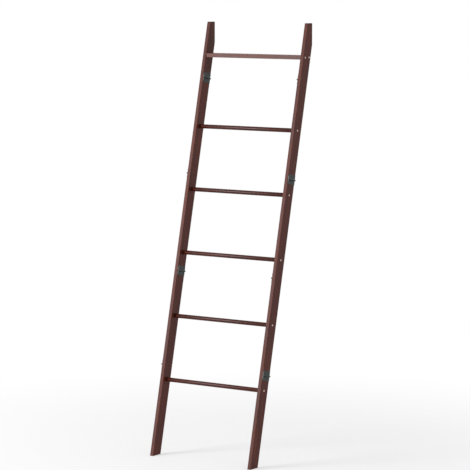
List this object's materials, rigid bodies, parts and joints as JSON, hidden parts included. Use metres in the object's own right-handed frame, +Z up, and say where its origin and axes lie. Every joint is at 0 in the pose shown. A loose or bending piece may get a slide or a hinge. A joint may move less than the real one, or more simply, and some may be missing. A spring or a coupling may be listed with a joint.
{
  "type": "blanket ladder",
  "caption": "Leaning wooden blanket ladder with round rungs, a narrow level shelf board near the top and rails made of hinged lengths.",
  "frame": {"origin": "floor level, halfway across the width and midway between the front of the feet and the wall that the ladder leans on", "axes": "+Z up, +Y towards the wall, +X to the right as seen from the front"},
  "size_m": [0.517, 0.4552, 1.8],
  "materials": {
    "rail_wood": "dark red-brown stain under a satin lacquer",
    "rung_wood": "dark red-brown stain under a satin lacquer",
    "shelf_wood": "dark red-brown stain under a satin lacquer",
    "hinge_metal": "black-bronze satin coat",
    "bright_screws": "zinc plated, slightly warm"
  },
  "bodies": {
    "root": {"hinge_screws": "hinge_metal", "left_hinge_1_lower_leaf": "hinge_metal", "left_hinge_1_pin": "hinge_metal", "left_hinge_1_upper_leaf": "hinge_metal", "left_hinge_2_lower_leaf": "hinge_metal", "left_hinge_2_pin": "hinge_metal", "left_hinge_2_upper_leaf": "hinge_metal", "left_hinge_3_lower_leaf": "hinge_metal", "left_hinge_3_pin": "hinge_metal", "left_hinge_3_upper_leaf": "hinge_metal", "left_hinge_4_lower_leaf": "hinge_metal", "left_hinge_4_pin": "hinge_metal", "left_hinge_4_upper_leaf": "hinge_metal", "left_rail_length_1": "rail_wood", "left_rail_length_2": "rail_wood", "left_rail_length_3": "rail_wood", "left_rail_length_4": "rail_wood", "left_rail_length_5": "rail_wood", "right_hinge_1_lower_leaf": "hinge_metal", "right_hinge_1_pin": "hinge_metal", "right_hinge_1_upper_leaf": "hinge_metal", "right_hinge_2_lower_leaf": "hinge_metal", "right_hinge_2_pin": "hinge_metal", "right_hinge_2_upper_leaf": "hinge_metal", "right_hinge_3_lower_leaf": "hinge_metal", "right_hinge_3_pin": "hinge_metal", "right_hinge_3_upper_leaf": "hinge_metal", "right_hinge_4_lower_leaf": "hinge_metal", "right_hinge_4_pin": "hinge_metal", "right_hinge_4_upper_leaf": "hinge_metal", "right_rail_length_1": "rail_wood", "right_rail_length_2": "rail_wood", "right_rail_length_3": "rail_wood", "right_rail_length_4": "rail_wood", "right_rail_length_5": "rail_wood", "rung_1": "rung_wood", "rung_2": "rung_wood", "rung_3": "rung_wood", "rung_4": "rung_wood", "rung_5": "rung_wood", "rung_screws": "bright_screws", "shelf_board": "shelf_wood", "shelf_screws": "bright_screws"}
  },
  "joints": []
}
